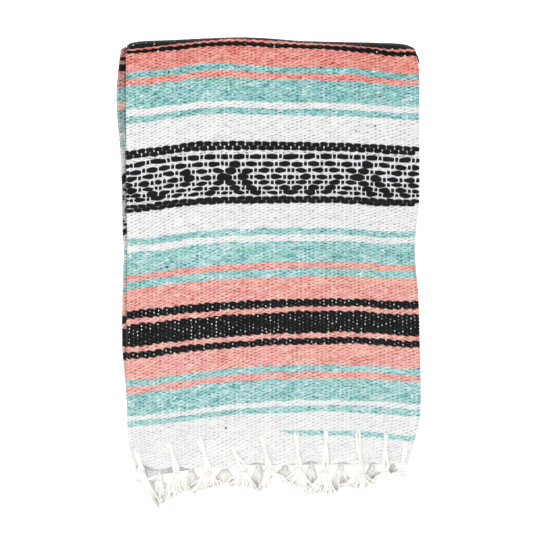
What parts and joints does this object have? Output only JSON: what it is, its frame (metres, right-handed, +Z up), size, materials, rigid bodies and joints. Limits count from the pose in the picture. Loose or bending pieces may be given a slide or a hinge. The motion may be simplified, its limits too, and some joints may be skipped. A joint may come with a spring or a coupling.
{
  "type": "folded mexican serape blanket",
  "caption": "Flat-woven striped cotton blanket, folded in quarters both ways and lying flat, with knotted fringe tassels along its front hems and a rolled fold at the back.",
  "frame": {"origin": "on the floor, under the middle of the outline of the folded blanket and its fringe", "axes": "+X along the weft to the right, +Y from the fringe to the rolled back edge, +Z up"},
  "size_m": [0.329, 0.5143, 0.0386],
  "materials": {
    "woven_stripes": "matt plain weave of soft recycled cotton, striped in white, mint, coral and black",
    "woven_layers": "matt plain weave, the edges of the folded plies",
    "fringe_cotton": "matt twisted cotton warp ends"
  },
  "bodies": {
    "root": {"top_leaf": "woven_stripes", "second_leaf": "woven_stripes", "under_leaf": "woven_stripes", "hidden_layers": "woven_layers", "tassel_top_01": "fringe_cotton", "tassel_top_02": "fringe_cotton", "tassel_top_03": "fringe_cotton", "tassel_top_04": "fringe_cotton", "tassel_top_05": "fringe_cotton", "tassel_top_06": "fringe_cotton", "tassel_top_07": "fringe_cotton", "tassel_top_08": "fringe_cotton", "tassel_top_09": "fringe_cotton", "tassel_top_10": "fringe_cotton", "tassel_second_01": "fringe_cotton", "tassel_second_02": "fringe_cotton", "tassel_second_03": "fringe_cotton", "tassel_second_04": "fringe_cotton", "tassel_second_05": "fringe_cotton", "tassel_second_06": "fringe_cotton", "tassel_second_07": "fringe_cotton", "tassel_second_08": "fringe_cotton", "tassel_second_09": "fringe_cotton"}
  },
  "joints": []
}
